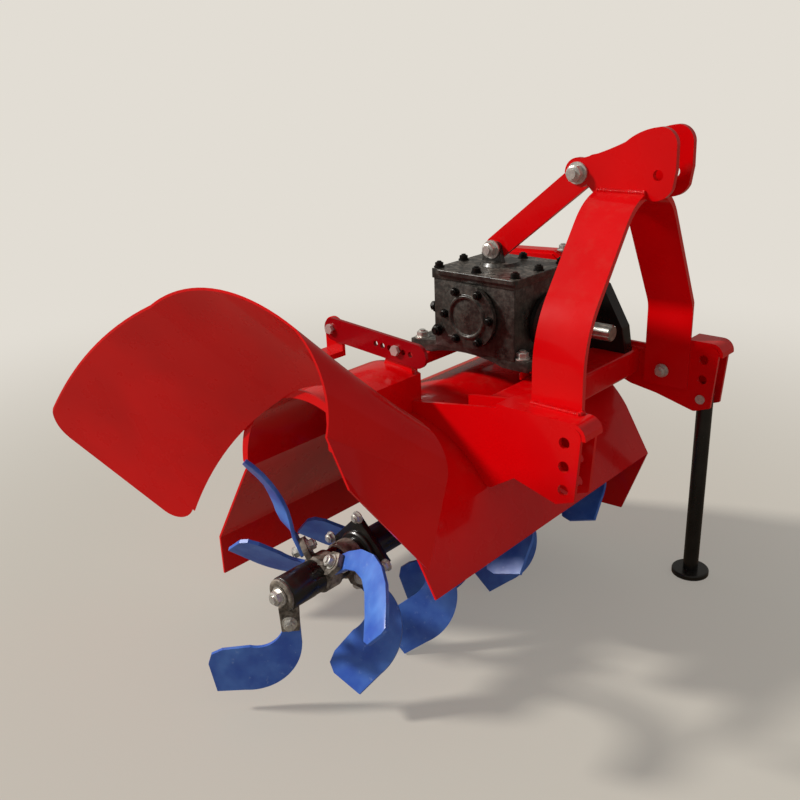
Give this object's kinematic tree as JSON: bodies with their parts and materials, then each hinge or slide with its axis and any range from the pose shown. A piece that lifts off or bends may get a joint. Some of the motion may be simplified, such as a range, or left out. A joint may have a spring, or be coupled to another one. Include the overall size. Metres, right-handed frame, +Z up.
{
  "type": "vine burying machine",
  "caption": "Three-point-hitch mounted, shaft-driven vine burying machine: a bladed rotor under a rolled hood throws earth sideways through a swinging flared deflector.",
  "frame": {"origin": "on the floor at the centre of the bottom of the bounding box, the machine standing as it parks, on its stand and its inner blades", "axes": "+X forward to the tractor, +Y to the machine's left, +Z up"},
  "size_m": [1.2025, 1.111, 1.0822],
  "materials": {
    "red_paint": "gloss",
    "blue_paint": "gloss",
    "black_paint": "gloss",
    "dark_casting": "satin",
    "worn_casting": "worn",
    "bright_steel": "machined"
  },
  "bodies": {
    "frame": {"hitch_plate_right_outer": "red_paint", "hitch_plate_right_inner": "red_paint", "hitch_plate_left_inner": "red_paint", "hitch_plate_left_outer": "red_paint", "hitch_cap_right": "red_paint", "hitch_cap_left": "red_paint", "front_beam": "red_paint", "mast_arch": "red_paint", "mast_ear_right": "red_paint", "mast_ear_left": "red_paint", "mast_brace": "red_paint", "hood_main": "red_paint", "hood_near": "red_paint", "hood_guide_flange": "red_paint", "hood_side_plate": "red_paint", "side_case": "black_paint", "side_case_cover": "red_paint", "gearbox_case": "dark_casting", "gearbox_cover": "dark_casting", "gearbox_side_cap": "dark_casting", "gearbox_input_cap": "dark_casting", "output_tube": "dark_casting", "rail_front": "red_paint", "rail_rear": "red_paint", "link_bracket": "red_paint"},
    "rotor": {"rotor_tube": "black_paint", "blade_ring_1": "blue_paint", "blade_ring_2": "blue_paint", "blade_ring_3": "blue_paint", "blade_ring_4": "blue_paint", "end_holder_inner": "worn_casting", "end_holder_cross": "worn_casting", "end_arm": "worn_casting", "thrower_blade_a": "blue_paint", "thrower_blade_b": "blue_paint", "thrower_blade_c": "blue_paint", "thrower_blade_d": "blue_paint", "thrower_blade_e": "blue_paint"},
    "input_shaft": {"pto_stub": "bright_steel"},
    "deflector": {"deflector_sheet": "red_paint", "deflector_arm": "red_paint"},
    "link": {"link_bar": "red_paint"},
    "stand": {"stand_leg": "black_paint", "stand_pin": "bright_steel"}
  },
  "joints": [
    {"name": "rotor_spin", "type": "hinge", "parent": "frame", "child": "rotor", "pos_m": [0.1565, 0.2225, 0.26], "axis": [0, 1, 0], "continuous": true},
    {"name": "input_spin", "type": "hinge", "parent": "frame", "child": "input_shaft", "pos_m": [0.4065, 0.2225, 0.671], "axis": [1, 0, 0], "continuous": true},
    {"name": "deflector_swing", "type": "hinge", "parent": "frame", "child": "deflector", "pos_m": [0.1565, -0.4075, 0.26], "axis": [0, 1, 0], "range_deg": [-4.7, 7.1]},
    {"name": "link_swing", "type": "hinge", "parent": "deflector", "child": "link", "pos_m": [-0.0335, -0.0918, 0.675], "axis": [0, 1, 0], "range_deg": [-1, 1.5]},
    {"name": "stand_swing", "type": "hinge", "parent": "frame", "child": "stand", "pos_m": [0.5565, 0.5115, 0.466], "axis": [0, 1, 0], "range_deg": [0, 85]}
  ],
  "couplings": [
    {"joint": "input_spin", "follows": "rotor_spin", "ratio": 2.2},
    {"joint": "link_swing", "follows": "deflector_swing", "ratio": 0.2}
  ]
}
